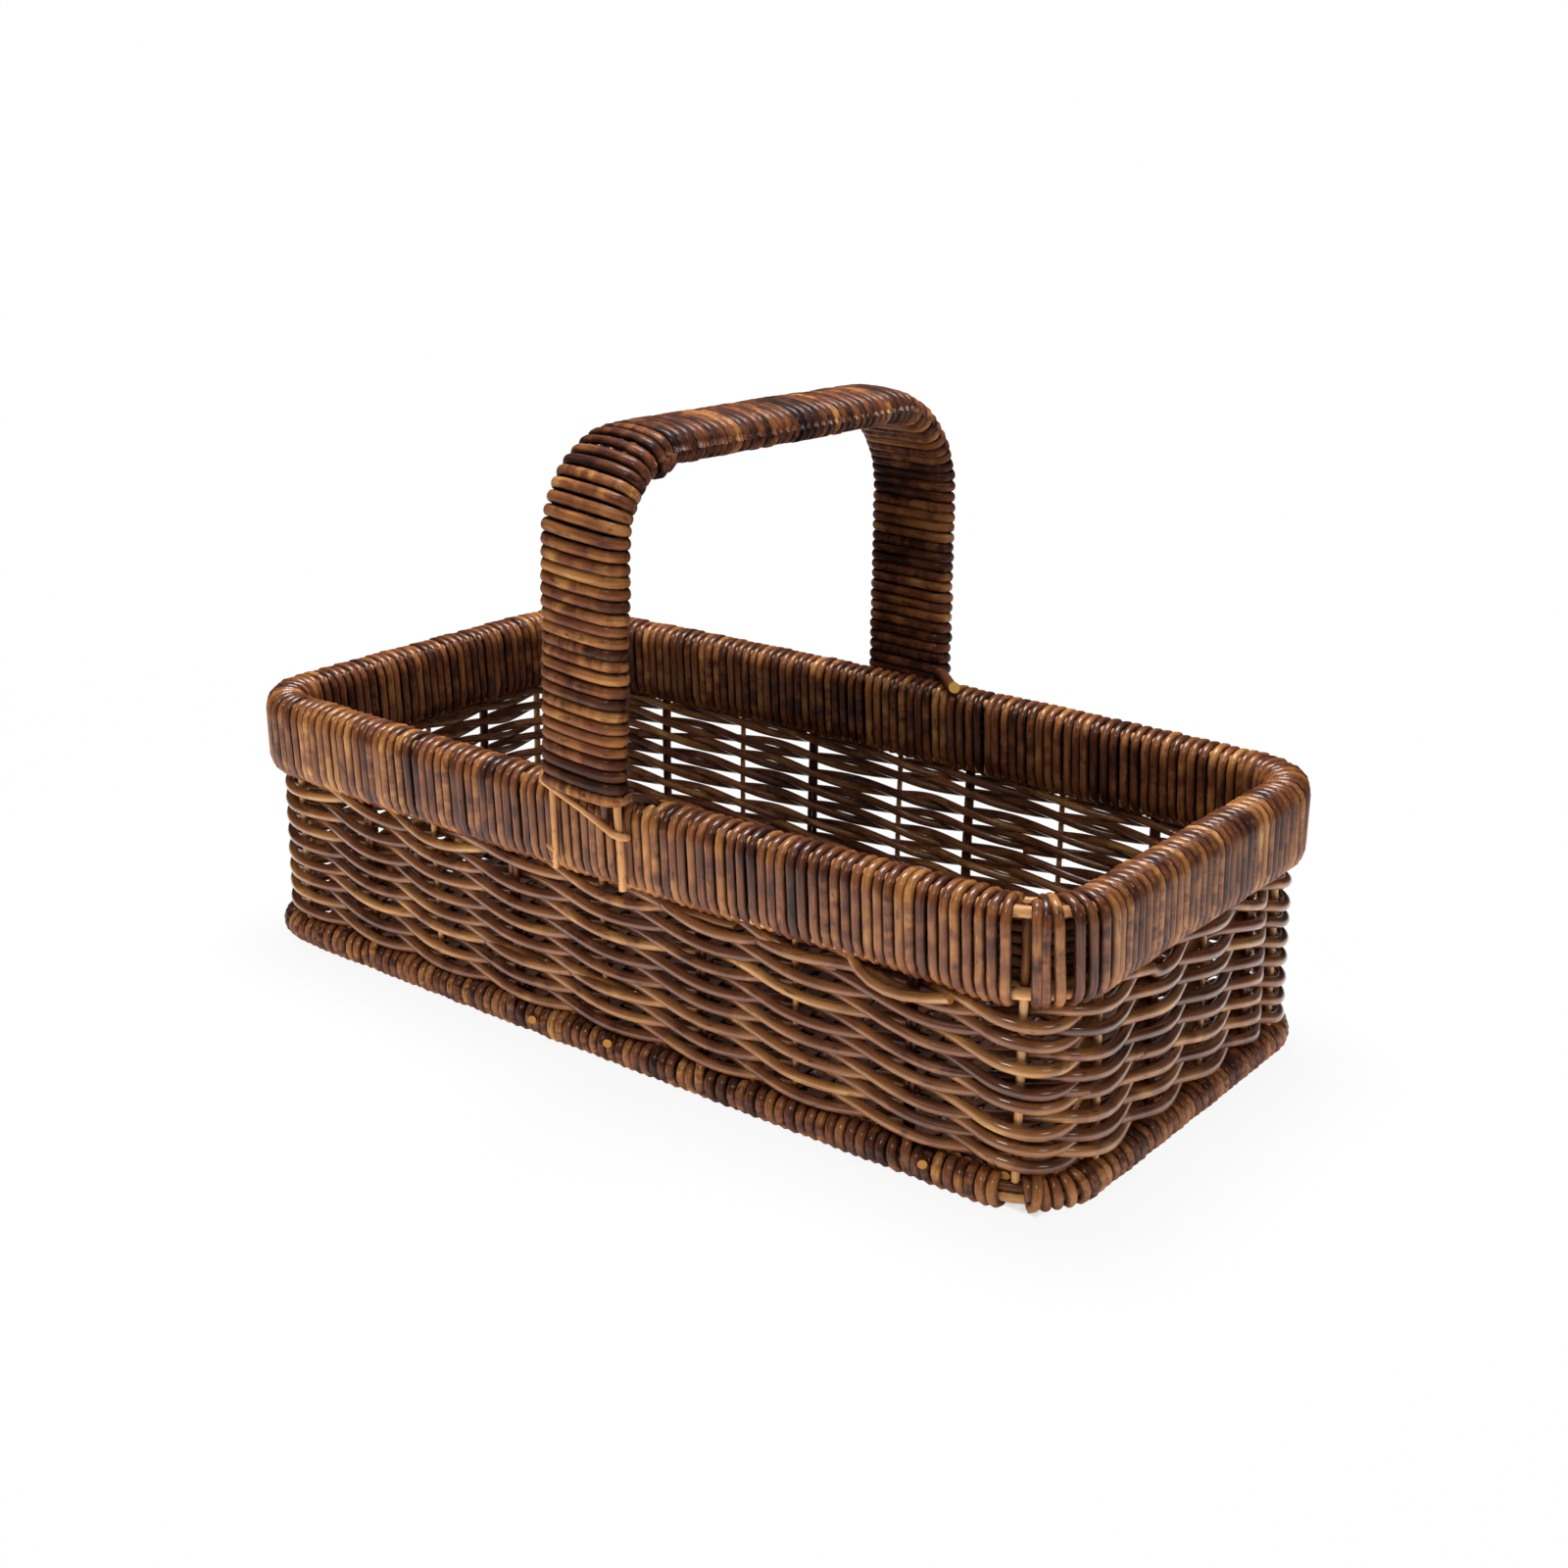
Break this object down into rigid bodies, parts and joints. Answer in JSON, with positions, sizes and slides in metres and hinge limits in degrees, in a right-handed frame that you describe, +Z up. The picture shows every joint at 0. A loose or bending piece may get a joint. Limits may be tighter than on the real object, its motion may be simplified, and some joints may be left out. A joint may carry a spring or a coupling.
{
  "type": "ingredient basket",
  "caption": "Oblong ingredient basket of dark stained cane with an open twined wall, a wound rim band, a wound foot and a fixed arch handle across its middle.",
  "frame": {"origin": "on the ground under the middle of the basket", "axes": "+X along the basket's length, +Y across it, along the span of the handle, away from the pictured long side, +Z up"},
  "size_m": [0.4, 0.218, 0.2345],
  "materials": {
    "dark_cane": "stained and lacquered cane, satin",
    "bound_cane": "split cane, stained and lacquered, half gloss",
    "pale_cane": "cane with its stain worn thin, satin"
  },
  "bodies": {
    "root": {"stake_01": "pale_cane", "stake_02": "dark_cane", "stake_03": "pale_cane", "stake_04": "dark_cane", "stake_05": "pale_cane", "stake_06": "dark_cane", "stake_07": "pale_cane", "stake_08": "dark_cane", "stake_09": "pale_cane", "stake_10": "pale_cane", "stake_11": "dark_cane", "stake_12": "pale_cane", "stake_13": "dark_cane", "stake_14": "pale_cane", "stake_15": "pale_cane", "stake_16": "dark_cane", "stake_17": "pale_cane", "stake_18": "dark_cane", "stake_19": "pale_cane", "stake_20": "dark_cane", "stake_21": "pale_cane", "stake_22": "dark_cane", "stake_23": "pale_cane", "stake_24": "pale_cane", "stake_25": "dark_cane", "stake_26": "pale_cane", "stake_27": "dark_cane", "stake_28": "pale_cane", "rim_top_outer_hoop": "pale_cane", "rim_top_inner_hoop": "pale_cane", "rim_lower_outer_hoop": "pale_cane", "rim_lower_inner_hoop": "pale_cane", "rim_binding_left": "bound_cane", "rim_binding_right": "bound_cane", "weaver_row_1": "dark_cane", "weaver_row_2": "dark_cane", "weaver_row_3": "dark_cane", "weaver_row_4": "dark_cane", "weaver_row_5": "dark_cane", "weaver_row_6": "dark_cane", "weaver_row_7": "dark_cane", "weaver_row_8": "dark_cane", "foot_hoop": "pale_cane", "foot_binding": "bound_cane", "floor_mat": "dark_cane", "floor_rod_1": "dark_cane", "floor_rod_2": "dark_cane", "floor_rod_3": "dark_cane", "floor_rod_4": "dark_cane", "handle_cane_1": "pale_cane", "handle_cane_2": "bound_cane", "handle_cane_3": "bound_cane", "handle_cane_4": "bound_cane", "handle_cane_5": "bound_cane", "handle_cane_6": "pale_cane", "handle_winding_near_leg": "bound_cane", "handle_winding_top": "bound_cane", "handle_winding_far_leg": "bound_cane", "handle_tie_near": "pale_cane", "handle_tie_far": "pale_cane"}
  },
  "joints": []
}
